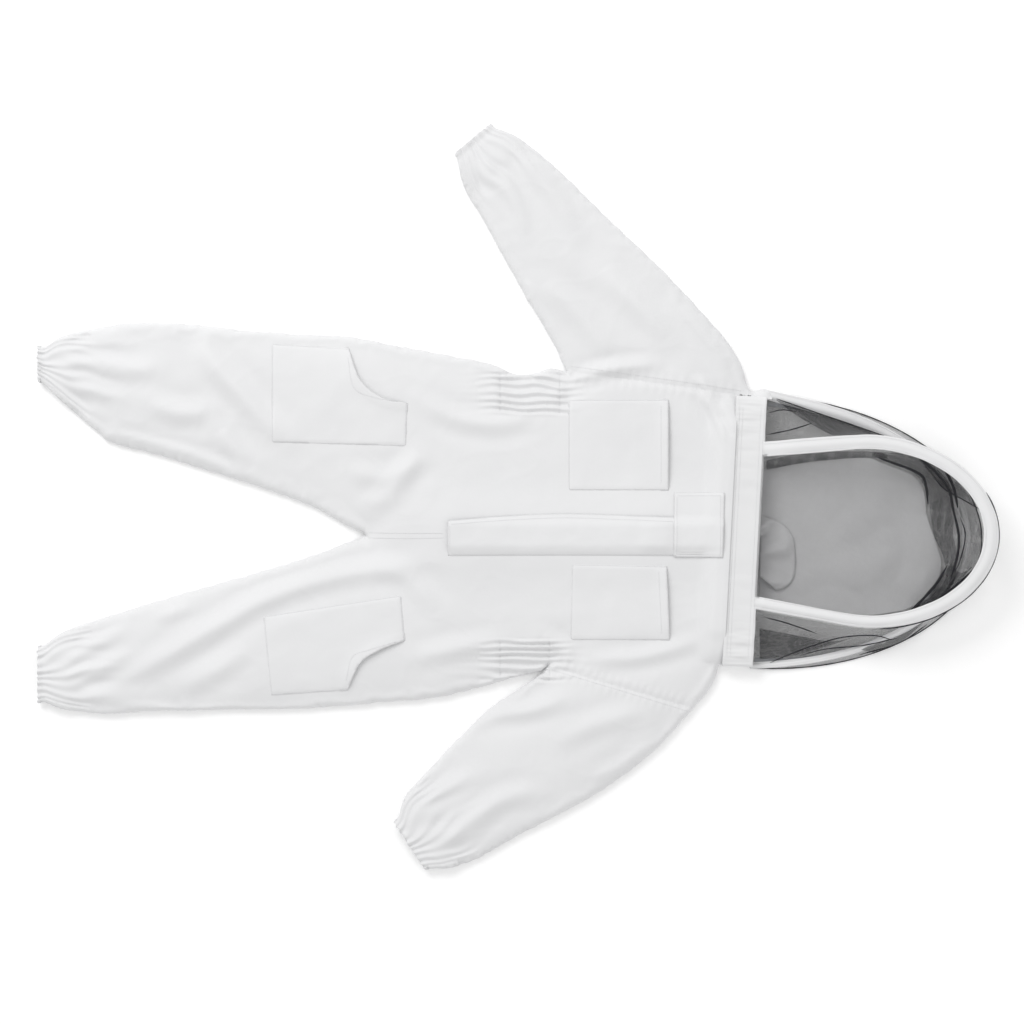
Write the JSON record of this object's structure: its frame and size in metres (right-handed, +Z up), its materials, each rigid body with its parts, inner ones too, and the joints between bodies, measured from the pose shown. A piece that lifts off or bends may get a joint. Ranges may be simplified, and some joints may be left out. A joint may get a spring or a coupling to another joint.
{
  "type": "beekeeping suit",
  "caption": "Child's white cotton beekeeping coverall with a zip-on two-hoop fencing hood, black mesh veil, flap pockets and elastic cuffs, laid flat.",
  "frame": {"origin": "middle of the overall box, on the surface the suit lies on", "axes": "+X from the ankles to the crown of the hood, +Y to the wearer's right, +Z up out of the front of the suit"},
  "size_m": [1.481, 1.1729, 0.0968],
  "materials": {
    "cotton": "matte",
    "hood_cloth": "matte",
    "tape": "matte",
    "mesh": "matte",
    "elastic": "matte",
    "hook_loop": "matte",
    "zip_tape": "matte",
    "zip_metal": "satin",
    "spring_steel": "satin"
  },
  "bodies": {
    "torso": {"right_front_panel": "cotton", "left_front_panel": "cotton", "back_panel": "cotton", "right_waist_elastic": "elastic", "left_waist_elastic": "elastic", "right_chest_pocket": "cotton", "left_chest_pocket": "cotton", "right_leg_pocket": "cotton", "left_leg_pocket": "cotton", "loop_patch": "hook_loop", "front_zip_tape": "zip_tape", "front_zip_teeth": "zip_metal", "neck_collar": "hood_cloth", "neck_zip_coil": "zip_tape"},
    "right_shin": {"right_shin_front": "cotton", "right_shin_back": "cotton", "right_ankle_cuff": "cotton", "right_ankle_elastic": "elastic"},
    "left_shin": {"left_shin_front": "cotton", "left_shin_back": "cotton", "left_ankle_cuff": "cotton", "left_ankle_elastic": "elastic"},
    "right_sleeve": {"right_sleeve_front": "cotton", "right_sleeve_back": "cotton", "right_wrist_cuff": "cotton", "right_wrist_elastic": "elastic"},
    "left_sleeve": {"left_sleeve_front": "cotton", "left_sleeve_back": "cotton", "left_wrist_cuff": "cotton", "left_wrist_elastic": "elastic"},
    "placket": {"placket": "cotton"},
    "throat_flap": {"throat_flap": "cotton", "hook_patch": "hook_loop"},
    "front_zip_slider": {"front_zip_slider": "zip_metal"},
    "front_zip_pull": {"front_zip_pull": "zip_metal"},
    "right_neck_slider": {"right_neck_slider": "zip_metal"},
    "right_neck_pull": {"right_neck_pull": "zip_metal"},
    "left_neck_slider": {"left_neck_slider": "zip_metal"},
    "left_neck_pull": {"left_neck_pull": "zip_metal"},
    "hood": {"hood_zip_coil": "zip_tape", "hood_band": "hood_cloth", "rear_hoop_casing": "tape", "rear_hoop_strip": "spring_steel", "hood_back_panel": "hood_cloth", "back_veil": "mesh", "neck_facing": "hood_cloth", "right_side_veil": "mesh", "left_side_veil": "mesh"},
    "front_hoop": {"front_hoop_casing": "tape", "front_hoop_strip": "spring_steel", "face_veil": "mesh"}
  },
  "joints": [
    {"name": "right_sleeve_fold", "type": "hinge", "parent": "torso", "child": "right_sleeve", "pos_m": [0.081, 0.1934, 0.041], "axis": [0.9901, -0.1405, 0], "range_deg": [0, 165]},
    {"name": "left_sleeve_fold", "type": "hinge", "parent": "torso", "child": "left_sleeve", "pos_m": [0.061, -0.2504, 0.041], "axis": [0.9513, -0.3083, 0], "range_deg": [-165, 0]},
    {"name": "right_knee_fold", "type": "hinge", "parent": "torso", "child": "right_shin", "pos_m": [-0.4704, 0.151, 0.041], "axis": [0, 1, 0], "range_deg": [0, 165]},
    {"name": "left_knee_fold", "type": "hinge", "parent": "torso", "child": "left_shin", "pos_m": [-0.4704, -0.2335, 0.041], "axis": [0, 1, 0], "range_deg": [0, 165]},
    {"name": "hood_tilt", "type": "hinge", "parent": "torso", "child": "hood", "pos_m": [0.327, -0.0524, 0.038], "axis": [0.0523, 0.9986, 0], "range_deg": [-90, 0]},
    {"name": "front_hoop_tilt", "type": "hinge", "parent": "hood", "child": "front_hoop", "pos_m": [0.37723, -0.04552, 0.036], "axis": [0.0523, 0.9986, 0], "range_deg": [-30, 0], "deforming": ["right_side_veil", "left_side_veil"]},
    {"name": "throat_flap_lift", "type": "hinge", "parent": "torso", "child": "throat_flap", "pos_m": [0.275, 0.005, 0.0364], "axis": [1, 0, 0], "range_deg": [-140, 0]},
    {"name": "placket_lift", "type": "hinge", "parent": "torso", "child": "placket", "pos_m": [0.069, -0.092, 0.0364], "axis": [1, 0, 0], "range_deg": [0, 100]},
    {"name": "front_zip_slide", "type": "slide", "parent": "torso", "child": "front_zip_slider", "axis": [1, 0, 0], "range_m": [-0.32, 0]},
    {"name": "front_zip_pull_lift", "type": "hinge", "parent": "front_zip_slider", "child": "front_zip_pull", "pos_m": [0.221, -0.06, 0.0399], "axis": [0, 1, 0], "range_deg": [0, 12]},
    {"name": "right_neck_zip_slide", "type": "slide", "parent": "torso", "child": "right_neck_slider", "axis": [0.0523, 0.9986, 0], "range_m": [0, 0.13]},
    {"name": "right_neck_pull_lift", "type": "hinge", "parent": "right_neck_slider", "child": "right_neck_pull", "pos_m": [0.32515, -0.02276, 0.0361], "axis": [0.9986, -0.0523, 0], "range_deg": [0, 12]},
    {"name": "left_neck_zip_slide", "type": "slide", "parent": "torso", "child": "left_neck_slider", "axis": [0.0523, 0.9986, 0], "range_m": [-0.15, 0]},
    {"name": "left_neck_pull_lift", "type": "hinge", "parent": "left_neck_slider", "child": "left_neck_pull", "pos_m": [0.32306, -0.06271, 0.0361], "axis": [0.9986, -0.0523, 0], "range_deg": [-12, 0]}
  ]
}
